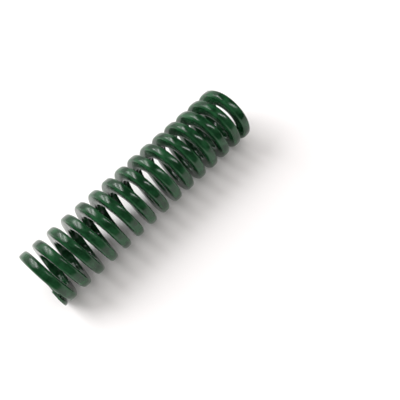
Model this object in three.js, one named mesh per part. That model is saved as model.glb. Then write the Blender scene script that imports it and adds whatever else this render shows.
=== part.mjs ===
// Right-hand die spring wound from rectangular wire, with closed and ground ends.
// It lies on its side: the axis runs along +X, and the lowest flats of its turns are at Z = 0.
// One wire makes the whole spring. It is divided into two end coils and the working turns
// between them, because those are what move against each other when the spring is pressed.
import * as THREE from 'three';

// Driving sizes, mm
const OUTSIDE_DIAMETER = 25.0;
const FREE_LENGTH = 100.0;
const WIRE_WIDTH = 5.5;          // of the wire along the spring's radius
const WIRE_HEIGHT = 4.0;         // of the wire along the spring's axis
const WIRE_CORNER = 0.7;         // cut off each corner of the wire
const TIP_THICKNESS = 1.0;       // what grinding leaves of the wire at each end
const CLOSED_GAP = 0.1;          // between neighbouring turns at the closed pitch

// Winding, in turns
const TOTAL_TURNS = 15.62;
const CLOSED_TURNS = 0.75;       // at the closed pitch, at each end
const RUN_OUT_TURNS = 0.35;      // over which the pitch opens
const END_COIL_TURNS = 1.75;     // in each end coil
const WORKING_TURNS = 12;        // one-turn pieces between the end coils

// Layout and mesh
const TIP_ANGLE = 168.75;        // degrees from +Y towards +Z, where the wire starts
const DIVISION_GAP = 0.4;        // between neighbouring pieces, at the middle of the wire
const FLATS_PER_TURN = 32;       // a multiple of four, so that one flat faces straight down

const OUTER_RADIUS = OUTSIDE_DIAMETER / 2;
const INNER_RADIUS = OUTER_RADIUS - WIRE_WIDTH;
const MEAN_RADIUS = OUTER_RADIUS - WIRE_WIDTH / 2;
const CLOSED_PITCH = WIRE_HEIGHT + CLOSED_GAP;
const TIP_TURN = TIP_ANGLE / 360;

// Turns' worth of open winding, from where the closed turns stop. The opening is a smooth step.
function openedBy(turns) {
  const u = Math.min(1, Math.max(0, turns / RUN_OUT_TURNS));
  return RUN_OUT_TURNS * (u ** 3 - u ** 4 / 2) + Math.max(0, turns - RUN_OUT_TURNS);
}

const HALF_OPEN = openedBy(TOTAL_TURNS / 2 - CLOSED_TURNS);

// The same counted from the start of the wire. Both halves of the spring are wound alike.
function openTurnsTo(turn) {
  if (turn <= TOTAL_TURNS / 2) return openedBy(turn - CLOSED_TURNS);
  return 2 * HALF_OPEN - openedBy(TOTAL_TURNS - turn - CLOSED_TURNS);
}

const CENTRE_START = TIP_THICKNESS - WIRE_HEIGHT / 2;
const CENTRE_RISE = FREE_LENGTH - 2 * CENTRE_START;
const WORKING_PITCH = CLOSED_PITCH
  + (CENTRE_RISE - CLOSED_PITCH * TOTAL_TURNS) / (2 * HALF_OPEN);

// Distance of the middle of the wire from the first ground face.
function centreAt(turn) {
  return CENTRE_START + CLOSED_PITCH * turn + (WORKING_PITCH - CLOSED_PITCH) * openTurnsTo(turn);
}

// Distance from the axis to a flat of the polygon that stands for one turn.
function reachAt(radius, angle) {
  const step = 2 * Math.PI / FLATS_PER_TURN;
  return radius / Math.cos(angle - step * Math.round(angle / step));
}

// The wire's outline at one place. Grinding cuts it off at both seats, and the corners that are
// left get smaller with it where it runs out to the tip.
function outlineAt(turn) {
  const angle = 2 * Math.PI * (TIP_TURN + turn);
  const low = centreAt(turn) - WIRE_HEIGHT / 2;
  const high = low + WIRE_HEIGHT;
  const left = Math.min(FREE_LENGTH, high) - Math.max(0, low);
  const corner = Math.min(WIRE_CORNER, left / 2);
  const points = [
    [OUTER_RADIUS, high - corner],
    [OUTER_RADIUS - corner, high],
    [INNER_RADIUS + corner, high],
    [INNER_RADIUS, high - corner],
    [INNER_RADIUS, low + corner],
    [INNER_RADIUS + corner, low],
    [OUTER_RADIUS - corner, low],
    [OUTER_RADIUS, low + corner],
  ];
  return points.map(([radius, height]) => {
    const along = Math.min(FREE_LENGTH, Math.max(0, height));
    const reach = reachAt(radius, angle);
    return [
      along - FREE_LENGTH / 2,
      reach * Math.cos(angle),
      reach * Math.sin(angle) + OUTER_RADIUS,
    ];
  });
}

// Where outlines are needed: at both ends, and wherever two flats meet between them.
function stations(from, to) {
  const places = [from];
  const first = Math.ceil((TIP_TURN + from) * FLATS_PER_TURN - 0.5);
  const last = Math.floor((TIP_TURN + to) * FLATS_PER_TURN - 0.5);
  for (let i = first; i <= last; i += 1) {
    const turn = (i + 0.5) / FLATS_PER_TURN - TIP_TURN;
    const clear = Math.min(turn - from, to - turn);
    if (clear > 1e-3) places.push(turn);
  }
  places.push(to);
  return places;
}

// One closed body: the outline carried along the wire, with a flat cap at each end.
function wireBody(from, to) {
  const outlines = stations(from, to).map(outlineAt);
  const sides = outlines[0].length;
  const end = (outlines.length - 1) * sides;
  const faces = [];
  for (let row = 0; row < end; row += sides) {
    for (let i = 0; i < sides; i += 1) {
      const a = row + i;
      const b = row + (i + 1) % sides;
      faces.push([a, a + sides, b + sides], [a, b + sides, b]);
    }
  }
  // Each cap fans from a corner on the side away from the ground face.
  for (let i = 1; i < sides - 1; i += 1) {
    faces.push([1, (1 + i) % sides, (2 + i) % sides]);
    faces.push([end + 5, end + (6 + i) % sides, end + (5 + i) % sides]);
  }
  const body = new THREE.BufferGeometry();
  const positions = new Float32Array(outlines.flat(2));
  body.setAttribute('position', new THREE.BufferAttribute(positions, 3));
  body.setIndex(faces.flat());
  body.computeVertexNormals();
  return body;
}

// The pieces in order along the wire, each with where it ends.
const halfGap = DIVISION_GAP / (2 * Math.PI * MEAN_RADIUS) / 2;
const pieces = [{ name: 'fixed_end_coil', to: END_COIL_TURNS }];
for (let i = 1; i <= WORKING_TURNS; i += 1) {
  const number = String(i).padStart(2, '0');
  const to = END_COIL_TURNS + (TOTAL_TURNS - 2 * END_COIL_TURNS) * i / WORKING_TURNS;
  pieces.push({ name: `working_turn_${number}`, to });
}
pieces.push({ name: 'moving_end_coil', to: TOTAL_TURNS });

const spring = new THREE.Group();
spring.name = 'die_spring';
let from = 0;
for (const { name, to } of pieces) {
  const start = from === 0 ? 0 : from + halfGap;
  const stop = to === TOTAL_TURNS ? TOTAL_TURNS : to - halfGap;
  const enamel = new THREE.MeshStandardMaterial({ color: 0x1f4f30, roughness: 0.35 });
  enamel.name = 'enamel';
  const mesh = new THREE.Mesh(wireBody(start, stop), enamel);
  mesh.name = name;
  spring.add(mesh);
  from = to;
}

export default spring;
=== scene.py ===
"""Looks of a heavy-load die spring: flat wire, closed and ground ends, green stoved enamel.

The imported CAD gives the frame. The spring lies along X with its fixed end at -X, and every
length here is in metres unless its name says millimetres. The wire is one helix. Geometry Nodes
coils it piece by piece, one piece for each CAD node, and its ends are then cut flat, as a
grinding wheel does it.
"""

import logging
import math
from dataclasses import dataclass, field
from enum import Enum
from typing import Any, Optional

import bmesh
import bpy
import numpy as np
from mathutils import Matrix, Vector


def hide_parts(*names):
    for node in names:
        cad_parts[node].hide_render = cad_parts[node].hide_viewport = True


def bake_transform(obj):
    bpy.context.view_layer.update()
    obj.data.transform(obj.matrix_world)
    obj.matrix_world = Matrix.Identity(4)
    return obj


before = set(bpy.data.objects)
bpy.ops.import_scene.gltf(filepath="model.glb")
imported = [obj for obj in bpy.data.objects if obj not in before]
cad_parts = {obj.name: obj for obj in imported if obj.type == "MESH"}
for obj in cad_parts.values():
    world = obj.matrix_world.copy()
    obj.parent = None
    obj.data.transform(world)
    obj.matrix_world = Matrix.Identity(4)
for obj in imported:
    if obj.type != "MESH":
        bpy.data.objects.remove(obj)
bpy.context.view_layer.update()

LOG = logging.getLogger("spring")
MM = 0.001
WHOLE_TURN = 2 * math.pi


class Attribute(Enum):
    """Names of the numbers that the coiled wire carries on its points."""

    WIRE_PLACE = "wire_place"  # millimetres along, out from and up the wire
    TRAVEL_SHARE = "travel_share"  # share of the moving end's travel, 0 to 1


class Body(Enum):
    """The two CAD bodies that the compression joint joins."""

    FIXED = "fixed_end"
    MOVING = "moving_end"


def to_linear(hex_colour: str) -> tuple[float, float, float, float]:
    """Turn an sRGB hex colour into linear numbers.

    Args:
        hex_colour: Six hex digits after a hash sign.

    Returns:
        Linear red, green and blue, and an alpha of 1.
    """
    channels = [int(hex_colour[i : i + 2], 16) / 255 for i in (1, 3, 5)]
    linear = [c / 12.92 if c <= 0.04045 else ((c + 0.055) / 1.055) ** 2.4 for c in channels]
    return (linear[0], linear[1], linear[2], 1.0)


def add_node(
    tree: bpy.types.NodeTree, kind: str, inputs: Optional[dict] = None, **settings: Any
) -> bpy.types.Node:
    """Add a node with its settings, its input values and its links.

    Args:
        tree: The shader or geometry tree that gets the node.
        kind: The node's type name.
        inputs: A socket's name or number, and the value it holds or the output it is linked to.
        **settings: The node's own properties.

    Returns:
        The new node.
    """
    node = tree.nodes.new(kind)
    for name, value in settings.items():
        setattr(node, name, value)
    for socket, value in (inputs or {}).items():
        if isinstance(value, bpy.types.NodeSocket):
            tree.links.new(value, node.inputs[socket])
        else:
            node.inputs[socket].default_value = value
    return node


def calculate(
    tree: bpy.types.NodeTree, operation: str, *values: Any, **settings: Any
) -> bpy.types.NodeSocket:
    """Add a maths node.

    Args:
        tree: The shader or geometry tree that gets the node.
        operation: What it works out.
        *values: Numbers, and output sockets to link.
        **settings: The node's other properties.

    Returns:
        The result's socket.
    """
    inputs = dict(enumerate(values))
    return add_node(tree, "ShaderNodeMath", inputs, operation=operation, **settings).outputs[0]


def add_material(name: str) -> bpy.types.Material:
    """Add a material with an empty tree.

    Args:
        name: The material's name.

    Returns:
        The new material.
    """
    material = bpy.data.materials.new(name)
    material.use_nodes = True
    material.node_tree.nodes.clear()
    return material


def add_object(name: str, data: bpy.types.ID) -> bpy.types.Object:
    """Add an object to the scene.

    Args:
        name: The object's name.
        data: Its mesh, light or camera.

    Returns:
        The new object.
    """
    new_object = bpy.data.objects.new(name, data)
    bpy.context.scene.collection.objects.link(new_object)
    return new_object


def aim_from(
    place_mm: tuple[float, float, float], target_mm: tuple[float, float, float], turn_deg: float
) -> Matrix:
    """Place a lamp or a camera and point it at something.

    Args:
        place_mm: Where it stands.
        target_mm: What it points at.
        turn_deg: Its turn about its own line of sight.

    Returns:
        Its matrix in the world, in metres.
    """
    place = Vector(place_mm) * MM
    aim = (Vector(target_mm) * MM - place).to_track_quat("-Z", "Y").to_matrix()
    turned = aim @ Matrix.Rotation(math.radians(turn_deg), 3, "Z")
    return Matrix.Translation(place) @ turned.to_4x4()


@dataclass(frozen=True)
class StovedEnamel:
    """Alkyd enamel, sprayed on shot-peened spring steel and stoved.

    To the eye it is a wet-looking dark green with a soft orange-peel ripple, mottled where the film
    is thinner.
    It is painted a little paler over the wire's corners, partly for the thinner film there and
    partly as a painted highlight along the rounded edges. Faint draw lines of the steel show
    through it along the wire, drawn coarser than the real ones so that they can be seen.
    """

    thick_film: str = "#0E3019"
    thin_film: str = "#1B4C2B"
    # paler corner colour: partly thinner film, partly a painted highlight on the rounded edges
    corner_film_and_painted_sheen: str = "#3A6B48"
    roughness_low: float = 0.12
    roughness_high: float = 0.26
    ior: float = 1.5
    peel_mm: float = 1.3
    peel_height_mm: float = 0.014
    cloud_mm: float = 3.5
    thin_film_from: float = 0.36  # level of the clouds where the film starts to thin
    thin_film_to: float = 0.66
    gloss_from: float = 0.3  # level of the clouds where the film is glossiest
    gloss_to: float = 0.7
    draw_line_mm: float = 0.35
    draw_line_squeeze: float = 0.04  # of the noise along the wire, which makes it lines
    draw_line_height_mm: float = 0.004
    nib_spacing_mm: float = 4.0
    nib_height_mm: float = 0.01
    nib_foot: float = 0.09  # radii of a nib, in nib spacings
    nib_top: float = 0.02
    corner_from_mm: float = 1.1  # both distances from a corner's sides, added up
    corner_to_mm: float = 0.45
    corner_share: float = 0.55

    def make(self, half_width_mm: float, half_height_mm: float) -> bpy.types.Material:
        """Build the enamel's nodes.

        Args:
            half_width_mm: Half of the wire's radial width.
            half_height_mm: Half of the wire's axial height.

        Returns:
            The material.
        """
        material = add_material("stoved_green_enamel")
        tree = material.node_tree
        place = add_node(
            tree,
            "ShaderNodeAttribute",
            attribute_name=Attribute.WIRE_PLACE.value,
            attribute_type="GEOMETRY",
        ).outputs["Vector"]
        corner = self._corner_mask(tree, place, half_width_mm, half_height_mm)
        clouds = add_node(
            tree,
            "ShaderNodeTexNoise",
            {"Vector": place, "Scale": 1 / self.cloud_mm, "Detail": 3.0, "Roughness": 0.6},
        ).outputs[0]
        cloud_share = add_node(
            tree,
            "ShaderNodeMapRange",
            {0: clouds, 1: self.thin_film_from, 2: self.thin_film_to},
            interpolation_type="SMOOTHSTEP",
        ).outputs[0]
        film = add_node(
            tree,
            "ShaderNodeMix",
            {"Factor": cloud_share, 6: to_linear(self.thick_film), 7: to_linear(self.thin_film)},
            data_type="RGBA",
        ).outputs[2]
        # Paint the corners paler: partly the thinner film there, partly a painted highlight on the
        # rounded edges
        colour = add_node(
            tree,
            "ShaderNodeMix",
            {"Factor": corner, 6: film, 7: to_linear(self.corner_film_and_painted_sheen)},
            data_type="RGBA",
        ).outputs[2]
        gloss = add_node(
            tree,
            "ShaderNodeMapRange",
            {
                0: clouds,
                1: self.gloss_from,
                2: self.gloss_to,
                3: self.roughness_low,
                4: self.roughness_high,
            },
        ).outputs[0]
        shader = add_node(
            tree,
            "ShaderNodeBsdfPrincipled",
            {
                "Base Color": colour,
                "Roughness": gloss,
                "IOR": self.ior,
                "Normal": self._relief(tree, place),
            },
        )
        add_node(tree, "ShaderNodeOutputMaterial", {"Surface": shader.outputs[0]})
        return material

    def _relief(
        self, tree: bpy.types.NodeTree, place: bpy.types.NodeSocket
    ) -> bpy.types.NodeSocket:
        """Bump the film with its orange peel, the draw lines under it and a few nibs of dust.

        Args:
            tree: The enamel's tree.
            place: The point's place in the wire, in millimetres.

        Returns:
            A socket with the normal.
        """
        peel = add_node(
            tree,
            "ShaderNodeTexNoise",
            {"Vector": place, "Scale": 1 / self.peel_mm, "Detail": 2.0, "Roughness": 0.45},
        ).outputs[0]
        lines_place = add_node(
            tree,
            "ShaderNodeMapping",
            {"Vector": place, "Scale": (self.draw_line_squeeze, 1.0, 1.0)},
            vector_type="POINT",
        ).outputs[0]
        lines = add_node(
            tree,
            "ShaderNodeTexNoise",
            {"Vector": lines_place, "Scale": 1 / self.draw_line_mm, "Detail": 1.0},
        ).outputs[0]
        nib = add_node(
            tree,
            "ShaderNodeTexVoronoi",
            {"Vector": place, "Scale": 1 / self.nib_spacing_mm},
            feature="F1",
        ).outputs["Distance"]
        nibs = add_node(
            tree,
            "ShaderNodeMapRange",
            {0: nib, 1: self.nib_foot, 2: self.nib_top},
            interpolation_type="SMOOTHSTEP",
        ).outputs[0]
        layers = (
            (peel, self.peel_height_mm),
            (lines, self.draw_line_height_mm),
            (nibs, self.nib_height_mm),
        )
        normal = None
        for height, height_mm in layers:
            inputs = {"Height": height, "Distance": height_mm * MM, "Strength": 1.0}
            if normal is not None:
                inputs["Normal"] = normal
            normal = add_node(tree, "ShaderNodeBump", inputs).outputs[0]
        return normal

    def _corner_mask(
        self,
        tree: bpy.types.NodeTree,
        place: bpy.types.NodeSocket,
        half_width_mm: float,
        half_height_mm: float,
    ) -> bpy.types.NodeSocket:
        """Find how near a point is to one of the wire's four corners.

        Args:
            tree: The enamel's tree.
            place: The point's place in the wire, in millimetres.
            half_width_mm: Half of the wire's radial width.
            half_height_mm: Half of the wire's axial height.

        Returns:
            A socket that is 0 on the flats and rises round the corners.
        """
        parts = add_node(tree, "ShaderNodeSeparateXYZ", {0: place})
        gaps = []
        for axis, half_mm in ((1, half_width_mm), (2, half_height_mm)):
            off = calculate(tree, "ABSOLUTE", parts.outputs[axis])
            gap = calculate(tree, "SUBTRACT", half_mm, off)
            gaps.append(gap)
        both = calculate(tree, "ADD", gaps[0], gaps[1])
        return add_node(
            tree,
            "ShaderNodeMapRange",
            {0: both, 1: self.corner_from_mm, 2: self.corner_to_mm, 3: 0.0, 4: self.corner_share},
            interpolation_type="SMOOTHSTEP",
        ).outputs[0]


@dataclass(frozen=True)
class GroundEnamel:
    """The same enamel on the ground seats, a thin coat over a wheel-ground steel face.

    To the eye it is a duller grey-green with fine concentric lines that the wheel left.
    """

    film: str = "#4A6652"
    worn_film: str = "#6B8471"
    roughness: float = 0.42
    ior: float = 1.5
    line_mm: float = 0.3
    line_height_mm: float = 0.01
    cloud_mm: float = 3.0
    worn_from: float = 0.15  # levels of the lines times the clouds
    worn_to: float = 0.4

    def make(self, axis_height: float) -> bpy.types.Material:
        """Build the ground face's nodes.

        Args:
            axis_height: Height of the spring's axis above the floor, in metres.

        Returns:
            The material.
        """
        material = add_material("thin_enamel_over_ground_steel")
        tree = material.node_tree
        place = add_node(tree, "ShaderNodeTexCoord").outputs["Object"]
        centred = add_node(
            tree,
            "ShaderNodeMapping",
            {"Vector": place, "Location": (0, 0, -axis_height / MM), "Scale": (1 / MM,) * 3},
        ).outputs[0]
        parts = add_node(tree, "ShaderNodeSeparateXYZ", {0: centred})
        flat = add_node(
            tree, "ShaderNodeCombineXYZ", {1: parts.outputs[1], 2: parts.outputs[2]}
        ).outputs[0]
        radius = add_node(
            tree, "ShaderNodeVectorMath", {0: flat}, operation="LENGTH"
        ).outputs["Value"]
        ring_place = add_node(tree, "ShaderNodeCombineXYZ", {0: radius}).outputs[0]
        rings = add_node(
            tree,
            "ShaderNodeTexNoise",
            {"Vector": ring_place, "Scale": 1 / self.line_mm, "Detail": 2.0},
        ).outputs[0]
        clouds = add_node(
            tree,
            "ShaderNodeTexNoise",
            {"Vector": centred, "Scale": 1 / self.cloud_mm, "Detail": 3.0},
        ).outputs[0]
        mixed = calculate(tree, "MULTIPLY", rings, clouds)
        share = add_node(
            tree, "ShaderNodeMapRange", {0: mixed, 1: self.worn_from, 2: self.worn_to}
        ).outputs[0]
        colour = add_node(
            tree,
            "ShaderNodeMix",
            {"Factor": share, 6: to_linear(self.film), 7: to_linear(self.worn_film)},
            data_type="RGBA",
        ).outputs[2]
        grooved = add_node(
            tree,
            "ShaderNodeBump",
            {"Height": rings, "Distance": self.line_height_mm * MM, "Strength": 1.0},
        ).outputs[0]
        shader = add_node(
            tree,
            "ShaderNodeBsdfPrincipled",
            {"Base Color": colour, "Roughness": self.roughness, "IOR": self.ior, "Normal": grooved},
        )
        add_node(tree, "ShaderNodeOutputMaterial", {"Surface": shader.outputs[0]})
        return material


@dataclass(frozen=True)
class TableTop:
    """Matt white laminate under the spring, which gives the eye a plain pale floor."""

    colour: str = "#F4F2F3"
    roughness: float = 0.7

    def make(self) -> bpy.types.Material:
        """Build the table top's plain material.

        Returns:
            The material.
        """
        material = bpy.data.materials.new("matt_white_laminate")
        material.use_nodes = True
        shader = material.node_tree.nodes["Principled BSDF"]
        shader.inputs["Base Color"].default_value = to_linear(self.colour)
        shader.inputs["Roughness"].default_value = self.roughness
        return material


@dataclass
class CoiledWire:
    """The spring's wire: two closed, ground end coils and the working turns between them."""

    outside_diameter: float = 25.0 * MM
    free_length: float = 100.0 * MM
    wire_width: float = 5.5 * MM
    wire_height: float = 4.0 * MM
    wire_corner: float = 0.85 * MM
    face_crown: float = 0.2 * MM
    tip_thickness: float = 1.0 * MM
    closed_gap: float = 0.1 * MM
    total_turns: float = 15.62
    closed_turns: float = 0.75
    run_out_turns: float = 0.35
    end_coil_turns: float = 1.75
    working_turns: int = 12
    tip_angle_deg: float = 168.75
    stations_per_turn: int = 240
    corner_points: int = 6
    sharp_deg: float = 35.0
    cut_tolerance: float = 1e-7
    enamel: StovedEnamel = field(default_factory=StovedEnamel)
    ground: GroundEnamel = field(default_factory=GroundEnamel)

    @property
    def axis_height(self) -> float:
        """Height of the spring's axis above the floor."""
        return self.outside_diameter / 2

    @property
    def first_centre(self) -> float:
        """Where the wire's centre starts along the axis, from the ground face."""
        return self.tip_thickness - self.wire_height / 2

    @property
    def open_turns(self) -> float:
        """Turns that open as one, which is the count that flexes."""
        return self.total_turns - 2 * self.closed_turns - self.run_out_turns

    @property
    def closed_pitch(self) -> float:
        """Rise of a closed turn."""
        return self.wire_height + self.closed_gap

    @property
    def working_pitch(self) -> float:
        """Rise of a working turn."""
        rise = self.free_length - 2 * self.first_centre
        return self.closed_pitch + (rise - self.closed_pitch * self.total_turns) / self.open_turns

    def _sockets(self) -> dict[str, tuple[str, float]]:
        """Name the coiling tree's inputs, each with its socket kind and value.

        Returns:
            Socket name to kind and value, in the order of the panel.
        """
        real = "NodeSocketFloat"
        return {
            "Outside diameter": (real, self.outside_diameter),
            "Free length": (real, self.free_length),
            "Wire width": (real, self.wire_width),
            "Wire height": (real, self.wire_height),
            "Wire corner": (real, self.wire_corner),
            "Face crown": (real, self.face_crown),
            "First centre": (real, self.first_centre),
            "Closed pitch": (real, self.closed_pitch),
            "Working pitch": (real, self.working_pitch),
            "Total turns": (real, self.total_turns),
            "Closed turns": (real, self.closed_turns),
            "Run-out turns": (real, self.run_out_turns),
            "Open turns": (real, self.open_turns),
            "Tip angle": (real, math.radians(self.tip_angle_deg)),
            "Corner points": ("NodeSocketInt", self.corner_points),
            "Turn from": (real, 0.0),
            "Turn to": (real, 1.0),
            "Stations": ("NodeSocketInt", self.stations_per_turn),
        }

    def build_tree(self, enamel: bpy.types.Material) -> bpy.types.GeometryNodeTree:
        """Build the tree that coils one length of wire.

        Args:
            enamel: The material that the wire leaves the tree with.

        Returns:
            The tree, with named inputs.
        """
        tree = bpy.data.node_groups.new("coil_the_wire", "GeometryNodeTree")
        for name, (kind, value) in self._sockets().items():
            tree.interface.new_socket(name, in_out="INPUT", socket_type=kind).default_value = value
        finish = tree.interface.new_socket(
            "Finish", in_out="INPUT", socket_type="NodeSocketMaterial"
        )
        finish.default_value = enamel
        tree.interface.new_socket("Wire", in_out="OUTPUT", socket_type="NodeSocketGeometry")
        given = add_node(tree, "NodeGroupInput").outputs

        # A straight tube of the section's points comes first, and is then bent into the helix.
        section = self._section_nodes(tree, given)
        points = add_node(
            tree, "GeometryNodeAttributeDomainSize", {0: section}, component="CURVE"
        ).outputs["Point Count"]
        segments = calculate(tree, "SUBTRACT", given["Stations"], 1.0)
        tube = add_node(
            tree,
            "GeometryNodeMeshCylinder",
            {"Vertices": points, "Side Segments": segments, "Radius": 1.0, "Depth": 1.0},
            fill_type="NGON",
        ).outputs["Mesh"]
        offset = self._ring_nodes(tree, section, points)
        offset_parts = add_node(tree, "ShaderNodeSeparateXYZ", {0: offset})

        # Each point's place along the spring's axis, from its turn and its place in the section
        position = add_node(tree, "GeometryNodeInputPosition").outputs[0]
        parts = add_node(tree, "ShaderNodeSeparateXYZ", {0: position})
        turn = add_node(
            tree,
            "ShaderNodeMapRange",
            {0: parts.outputs[2], 1: -0.5, 2: 0.5, 3: given["Turn from"], 4: given["Turn to"]},
        ).outputs[0]
        opened = self._opened_nodes(tree, given, turn)
        closed_rise = calculate(
            tree, "MULTIPLY_ADD", turn, given["Closed pitch"], given["First centre"]
        )
        extra_pitch = calculate(tree, "SUBTRACT", given["Working pitch"], given["Closed pitch"])
        centre = calculate(tree, "MULTIPLY_ADD", opened, extra_pitch, closed_rise)
        along = calculate(tree, "ADD", centre, offset_parts.outputs[1])
        half_length = calculate(tree, "MULTIPLY", given["Free length"], 0.5)
        from_middle = calculate(tree, "SUBTRACT", along, half_length)

        # Its place round the axis
        angle = calculate(tree, "MULTIPLY_ADD", turn, WHOLE_TURN, given["Tip angle"])
        outside = calculate(tree, "MULTIPLY", given["Outside diameter"], 0.5)
        half_width = calculate(tree, "MULTIPLY", given["Wire width"], 0.5)
        mean = calculate(tree, "SUBTRACT", outside, half_width)
        radius = calculate(tree, "ADD", mean, offset_parts.outputs[0])
        cosine = calculate(tree, "COSINE", angle)
        sine = calculate(tree, "SINE", angle)
        across = calculate(tree, "MULTIPLY", radius, cosine)
        height = calculate(tree, "MULTIPLY_ADD", radius, sine, outside)
        coiled_place = add_node(
            tree, "ShaderNodeCombineXYZ", {0: from_middle, 1: across, 2: height}
        ).outputs[0]

        # What the enamel reads from it, and each point's share of the travel
        mean_turn = calculate(tree, "MULTIPLY", mean, WHOLE_TURN / MM)
        length_mm = calculate(tree, "MULTIPLY", turn, mean_turn)
        offset_mm = add_node(
            tree, "ShaderNodeVectorMath", {0: offset, "Scale": 1 / MM}, operation="SCALE"
        ).outputs[0]
        offset_mm_parts = add_node(tree, "ShaderNodeSeparateXYZ", {0: offset_mm})
        wire_place = add_node(
            tree,
            "ShaderNodeCombineXYZ",
            {0: length_mm, 1: offset_mm_parts.outputs[0], 2: offset_mm_parts.outputs[1]},
        ).outputs[0]
        travel = calculate(tree, "DIVIDE", opened, given["Open turns"])

        placed = add_node(
            tree,
            "GeometryNodeStoreNamedAttribute",
            {"Geometry": tube, "Name": Attribute.WIRE_PLACE.value, "Value": wire_place},
            data_type="FLOAT_VECTOR",
            domain="POINT",
        ).outputs[0]
        shared = add_node(
            tree,
            "GeometryNodeStoreNamedAttribute",
            {"Geometry": placed, "Name": Attribute.TRAVEL_SHARE.value, "Value": travel},
            data_type="FLOAT",
            domain="POINT",
        ).outputs[0]
        coiled = add_node(
            tree, "GeometryNodeSetPosition", {"Geometry": shared, "Position": coiled_place}
        ).outputs[0]
        smooth = add_node(
            tree, "GeometryNodeSetShadeSmooth", {0: coiled, "Shade Smooth": True}
        ).outputs[0]
        real = add_node(tree, "GeometryNodeRealizeInstances", {0: smooth}).outputs[0]
        dressed = add_node(
            tree, "GeometryNodeSetMaterial", {0: real, "Material": given["Finish"]}
        ).outputs[0]
        add_node(tree, "NodeGroupOutput", {0: dressed})
        return tree

    @staticmethod
    def _section_nodes(tree: bpy.types.GeometryNodeTree, given: Any) -> bpy.types.NodeSocket:
        """Draw the wire's section: a rectangle with rounded corners and slightly crowned faces.

        Args:
            tree: The coiling tree.
            given: The outputs of the tree's input node.

        Returns:
            The section as a closed curve, X out from the spring's axis and Y along it.
        """
        outline = add_node(
            tree,
            "GeometryNodeCurvePrimitiveQuadrilateral",
            {"Width": given["Wire width"], "Height": given["Wire height"]},
            mode="RECTANGLE",
        ).outputs[0]
        rounded = add_node(
            tree,
            "GeometryNodeFilletCurve",
            {"Curve": outline, "Count": given["Corner points"], "Radius": given["Wire corner"]},
            mode="POLY",
        ).outputs[0]
        divided = add_node(
            tree, "GeometryNodeSubdivideCurve", {"Curve": rounded, "Cuts": 1}
        ).outputs[0]
        position = add_node(tree, "GeometryNodeInputPosition").outputs[0]
        parts = add_node(tree, "ShaderNodeSeparateXYZ", {0: position})
        crowned = []
        for own, other, size in ((0, 1, "Wire height"), (1, 0, "Wire width")):
            half = calculate(tree, "MULTIPLY", given[size], 0.5)
            share = calculate(tree, "DIVIDE", parts.outputs[other], half)
            square = calculate(tree, "MULTIPLY", share, share)
            drop = calculate(tree, "MULTIPLY", square, given["Face crown"])
            side = calculate(tree, "SIGN", parts.outputs[own])
            signed = calculate(tree, "MULTIPLY", drop, side)
            moved = calculate(tree, "SUBTRACT", parts.outputs[own], signed)
            crowned.append(moved)
        place = add_node(tree, "ShaderNodeCombineXYZ", {0: crowned[0], 1: crowned[1]}).outputs[0]
        return add_node(
            tree, "GeometryNodeSetPosition", {"Geometry": divided, "Position": place}
        ).outputs[0]

    @staticmethod
    def _ring_nodes(
        tree: bpy.types.GeometryNodeTree,
        section: bpy.types.NodeSocket,
        points: bpy.types.NodeSocket,
    ) -> bpy.types.NodeSocket:
        """Find which point of the section each point of the straight tube stands for.

        Args:
            tree: The coiling tree.
            section: The wire's section, as a curve.
            points: How many points it has.

        Returns:
            A socket with that point's place in the section.
        """
        position = add_node(tree, "GeometryNodeInputPosition").outputs[0]
        parts = add_node(tree, "ShaderNodeSeparateXYZ", {0: position})
        around = calculate(tree, "ARCTAN2", parts.outputs[1], parts.outputs[0])
        share = calculate(tree, "DIVIDE", around, WHOLE_TURN)
        wrapped = calculate(tree, "FLOORED_MODULO", share, 1.0)
        counted = calculate(tree, "MULTIPLY", wrapped, points)
        number = calculate(tree, "ROUND", counted)
        which = calculate(tree, "MODULO", number, points)
        return add_node(
            tree,
            "GeometryNodeSampleIndex",
            {0: section, "Value": position, "Index": which},
            data_type="FLOAT_VECTOR",
            domain="POINT",
        ).outputs[0]

    @staticmethod
    def _opened_nodes(
        tree: bpy.types.GeometryNodeTree, given: Any, turn: bpy.types.NodeSocket
    ) -> bpy.types.NodeSocket:
        """Count how many turns have opened by a place on the wire.

        The pitch opens smoothly over the run-out, from the closed turns to the working ones.

        Args:
            tree: The coiling tree.
            given: The outputs of the tree's input node.
            turn: The place on the wire, in turns from the first tip.

        Returns:
            A socket with the opened turns so far.
        """
        turns_left = calculate(tree, "SUBTRACT", given["Total turns"], turn)
        nearer = calculate(tree, "MINIMUM", turn, turns_left)
        past = calculate(tree, "SUBTRACT", nearer, given["Closed turns"])
        share = calculate(tree, "DIVIDE", past, given["Run-out turns"], use_clamp=True)
        cubed = calculate(tree, "POWER", share, 3.0)
        fourth = calculate(tree, "POWER", share, 4.0)
        eased = calculate(tree, "MULTIPLY_ADD", fourth, -0.5, cubed)
        beyond = calculate(tree, "SUBTRACT", past, given["Run-out turns"])
        full = calculate(tree, "MAXIMUM", beyond, 0.0)
        from_near_end = calculate(tree, "MULTIPLY_ADD", eased, given["Run-out turns"], full)
        from_far_end = calculate(tree, "SUBTRACT", given["Open turns"], from_near_end)
        past_middle = calculate(tree, "GREATER_THAN", turn, turns_left)
        return add_node(
            tree,
            "GeometryNodeSwitch",
            {0: past_middle, 1: from_near_end, 2: from_far_end},
            input_type="FLOAT",
        ).outputs[0]

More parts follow.
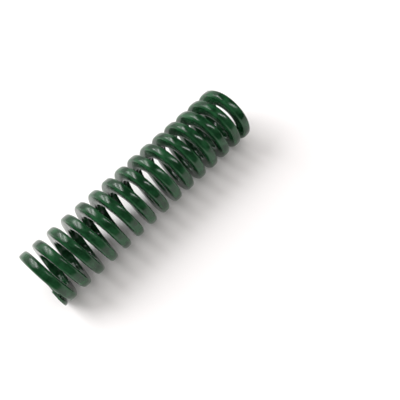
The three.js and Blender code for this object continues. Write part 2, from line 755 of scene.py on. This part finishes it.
    def coil(
        self, tree: bpy.types.GeometryNodeTree, name: str, turn_from: float, turn_to: float
    ) -> bpy.types.Object:
        """Coil one length of wire and keep it as a plain mesh.

        Args:
            tree: The coiling tree.
            name: The piece's name.
            turn_from: Where the length starts, in turns from the first tip.
            turn_to: Where it ends.

        Returns:
            The piece, at the origin with its place in its mesh.
        """
        source = add_object(f"{name}_source", bpy.data.meshes.new(f"{name}_source"))
        modifier = source.modifiers.new("coil", "NODES")
        modifier.node_group = tree
        sockets = {s.name: s.identifier for s in tree.interface.items_tree if s.in_out == "INPUT"}
        stations = round((turn_to - turn_from) * self.stations_per_turn) + 1
        modifier[sockets["Turn from"]] = turn_from
        modifier[sockets["Turn to"]] = turn_to
        modifier[sockets["Stations"]] = stations
        graph = bpy.context.evaluated_depsgraph_get()
        mesh = bpy.data.meshes.new_from_object(source.evaluated_get(graph), depsgraph=graph)
        mesh.name = name
        source.modifiers.remove(modifier)
        bpy.data.objects.remove(source)
        return add_object(name, mesh)

    def grind(self, piece: bpy.types.Object, seat_material: bpy.types.Material) -> None:
        """Cut the wire flat where it passes the plane of a ground end, and mark its sharp edges.

        Args:
            piece: The coiled piece.
            seat_material: The finish of a ground face.
        """
        piece.data.materials.append(seat_material)
        body = bmesh.new()
        body.from_mesh(piece.data)
        for side in (-1.0, 1.0):
            plane = Vector((side * self.free_length / 2, 0, 0))
            if all(vertex.co.x * side <= plane.x * side for vertex in body.verts):
                continue
            cut = bmesh.ops.bisect_plane(
                body,
                geom=[*body.verts, *body.edges, *body.faces],
                dist=self.cut_tolerance,
                plane_co=plane,
                plane_no=Vector((side, 0, 0)),
                clear_outer=True,
            )["geom_cut"]
            rim = [element for element in cut if isinstance(element, bmesh.types.BMEdge)]
            seat = bmesh.ops.edgeloop_fill(body, edges=rim, mat_nr=1, use_smooth=False)["faces"]
            bmesh.ops.triangulate(body, faces=seat, quad_method="BEAUTY", ngon_method="BEAUTY")
        body.normal_update()
        if body.calc_volume(signed=True) < 0:
            bmesh.ops.reverse_faces(body, faces=body.faces)
        for edge in body.edges:
            edge.smooth = edge.calc_face_angle(math.pi) < math.radians(self.sharp_deg)
        body.to_mesh(piece.data)
        body.free()

    @staticmethod
    def follow_compression(piece: bpy.types.Object) -> None:
        """Bake the piece's place into its mesh and read the share of the travel that the coiling
        tree stored on each of its points.

        Args:
            piece: The finished piece.
        """
        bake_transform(piece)
        shares = np.zeros(len(piece.data.vertices), np.float32)
        piece.data.attributes[Attribute.TRAVEL_SHARE.value].data.foreach_get("value", shares)

    def lengths(self) -> list[tuple[str, str, float, float]]:
        """List the lengths of wire, one for each CAD node.

        Returns:
            Piece name, CAD node, first turn and last turn.
        """
        rows = [("enamelled_fixed_end", "fixed_end_coil", 0.0, self.end_coil_turns)]
        step = (self.total_turns - 2 * self.end_coil_turns) / self.working_turns
        for index in range(self.working_turns):
            first = self.end_coil_turns + index * step
            name = f"working_turn_{index + 1:02d}"
            rows.append((f"enamelled_{name}", name, first, first + step))
        last = self.total_turns - self.end_coil_turns
        rows.append(("enamelled_moving_end", "moving_end_coil", last, self.total_turns))
        return rows

    def build(self) -> list[bpy.types.Object]:
        """Coil, grind and dress every length of wire.

        Returns:
            The pieces, from the fixed end to the moving one.
        """
        enamel = self.enamel.make(self.wire_width / 2 / MM, self.wire_height / 2 / MM)
        seat = self.ground.make(self.axis_height)
        tree = self.build_tree(enamel)
        pieces = []
        for name, node, first, last in self.lengths():
            piece = self.coil(tree, name, first, last)
            self.grind(piece, seat)
            self.follow_compression(piece)
            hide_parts(node)
            faces = len(piece.data.polygons)
            LOG.info("%s: turns %.2f to %.2f, %d faces", name, first, last, faces)
            pieces.append(piece)
        return pieces


@dataclass
class SoftBox:
    """One square or strip lamp of the studio, in millimetres and watts.

    A lamp can be kept out of reflections, so that it only lights, or off surfaces, so that it
    only shows as a streak in the enamel.
    """

    name: str
    place_mm: tuple[float, float, float]
    target_mm: tuple[float, float, float]
    width_mm: float
    length_mm: float
    power: float
    turn_deg: float = 0.0
    colour: str = "#FFFFFF"
    in_reflections: bool = True
    on_surfaces: bool = True

    def build(self) -> bpy.types.Object:
        """Hang the lamp and aim it.

        Returns:
            The lamp.
        """
        data = bpy.data.lights.new(self.name, "AREA")
        data.shape = "RECTANGLE"
        data.size = self.length_mm * MM
        data.size_y = self.width_mm * MM
        data.energy = self.power
        data.color = to_linear(self.colour)[:3]
        lamp = add_object(self.name, data)
        lamp.matrix_world = aim_from(self.place_mm, self.target_mm, self.turn_deg)
        lamp.visible_glossy = self.in_reflections
        lamp.visible_diffuse = self.on_surfaces
        return lamp


@dataclass
class Studio:
    """White table, soft lamps and the camera."""

    table_side: float = 8.0
    room_colour: str = "#BCBAB8"
    room_strength: float = 1.6
    camera_mm: tuple[float, float, float] = (-40.06, -107.81, 174.16)
    target_mm: tuple[float, float, float] = (14.67, -16.3, 3.75)
    roll_deg: float = -16.93
    lens_mm: float = 45.09
    sensor_mm: float = 36.0
    clip_near: float = 0.005
    clip_far: float = 50.0
    strip_turn_deg: float = 60.0
    table: TableTop = field(default_factory=TableTop)

    def lay_table(self) -> None:
        """Lay the table top under the spring."""
        half = self.table_side / 2
        corners = [(-half, -half, 0), (half, -half, 0), (half, half, 0), (-half, half, 0)]
        mesh = bpy.data.meshes.new("table_top")
        mesh.from_pydata(corners, [], [(0, 1, 2, 3)])
        mesh.materials.append(self.table.make())
        floor = add_object("table_top", mesh)

    def light_room(self) -> None:
        """Give the room an even light that falls on surfaces but isn't mirrored in the enamel."""
        world = bpy.data.worlds.new("room")
        bpy.context.scene.world = world
        world.use_nodes = True
        background = world.node_tree.nodes["Background"]
        background.inputs["Color"].default_value = to_linear(self.room_colour)
        background.inputs["Strength"].default_value = self.room_strength
        world.cycles_visibility.glossy = False

    def hang_lamps(self) -> None:
        """Hang the fill light, and the lamps that only show as streaks in the enamel."""
        middle = (0, 0, 0)
        turn = self.strip_turn_deg
        lamps = [
            SoftBox("window_fill", (-400, 700, 650), middle, 800, 800, 11.0, in_reflections=False),
            SoftBox("back_wall", (0, 1200, 500), (0, 0, 100), 1000, 2400, 6.0, on_surfaces=False),
            SoftBox("ceiling", (20, 420, 640), middle, 420, 620, 1.6, turn, on_surfaces=False),
            SoftBox("strip_wide", (70, 290, 600), middle, 60, 440, 0.75, turn, on_surfaces=False),
            SoftBox("strip_narrow", (10, 540, 600), middle, 50, 440, 0.65, turn, on_surfaces=False),
            SoftBox("far_strip", (335, -310, 600), middle, 90, 400, 1.0, 90.0, on_surfaces=False),
        ]
        for lamp in lamps:
            lamp.build()
            LOG.info("lamp %s", lamp.name)

    def set_camera(self) -> None:
        """Stand the camera where it sees the spring from above its fixed end."""
        data = bpy.data.cameras.new("camera")
        data.lens = self.lens_mm
        data.sensor_width = self.sensor_mm
        data.clip_start = self.clip_near
        data.clip_end = self.clip_far
        camera = add_object("camera", data)
        camera.matrix_world = aim_from(self.camera_mm, self.target_mm, self.roll_deg)
        bpy.context.scene.camera = camera

    def build(self) -> None:
        """Set up the table, the light and the camera."""
        bpy.context.scene.view_settings.view_transform = "Standard"
        self.lay_table()
        self.light_room()
        self.hang_lamps()
        self.set_camera()


def main() -> None:
    """Build the spring's wire and the studio, in that order."""
    logging.basicConfig(level=logging.INFO, format="%(name)s: %(message)s", force=True)
    CoiledWire().build()
    Studio().build()


if __name__ == "__main__":
    main()
